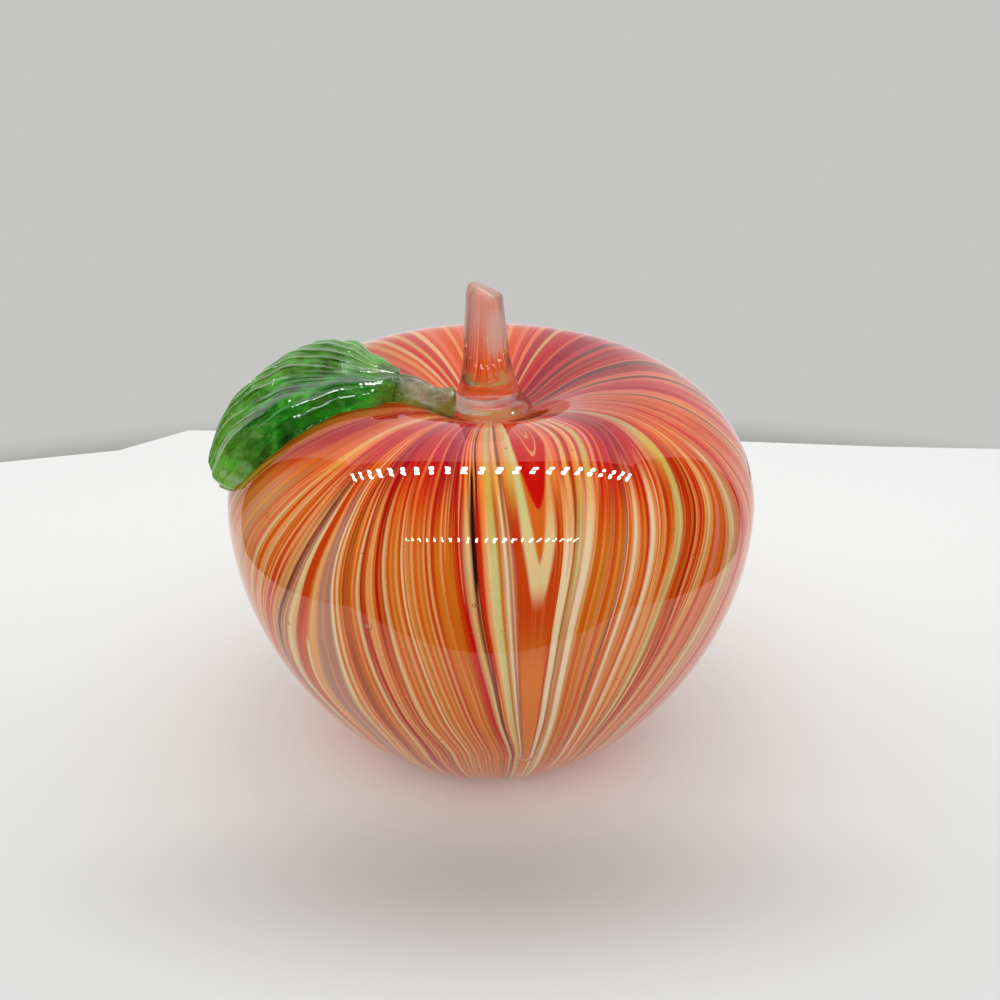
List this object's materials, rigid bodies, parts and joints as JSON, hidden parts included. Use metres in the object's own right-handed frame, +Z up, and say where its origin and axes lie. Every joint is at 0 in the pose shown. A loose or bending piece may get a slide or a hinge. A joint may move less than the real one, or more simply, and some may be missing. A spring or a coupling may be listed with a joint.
{
  "type": "glass apple",
  "caption": "Hollow blown glass apple ornament with twisted coloured canes in clear casing, a clear glass stem and a ribbed green leaf.",
  "frame": {"origin": "middle of the flat base, on the surface the apple stands on", "axes": "+Z up through the stem, -Y towards the front, -X towards the leaf"},
  "size_m": [0.118, 0.115, 0.1082],
  "materials": {
    "clear_glass": "gloss",
    "red_glass": "gloss",
    "orange_glass": "gloss",
    "amber_glass": "gloss",
    "cream_glass": "gloss",
    "lime_glass": "gloss",
    "plum_glass": "gloss",
    "leaf_glass": "gloss",
    "stalk_glass": "gloss"
  },
  "bodies": {
    "root": {"clear_casing": "clear_glass", "inner_gather": "clear_glass", "red_canes": "red_glass", "orange_canes": "orange_glass", "amber_canes": "amber_glass", "cream_canes": "cream_glass", "lime_canes": "lime_glass", "plum_canes": "plum_glass", "stem": "clear_glass", "leaf_blade": "leaf_glass", "leaf_stalk": "stalk_glass"}
  },
  "joints": []
}
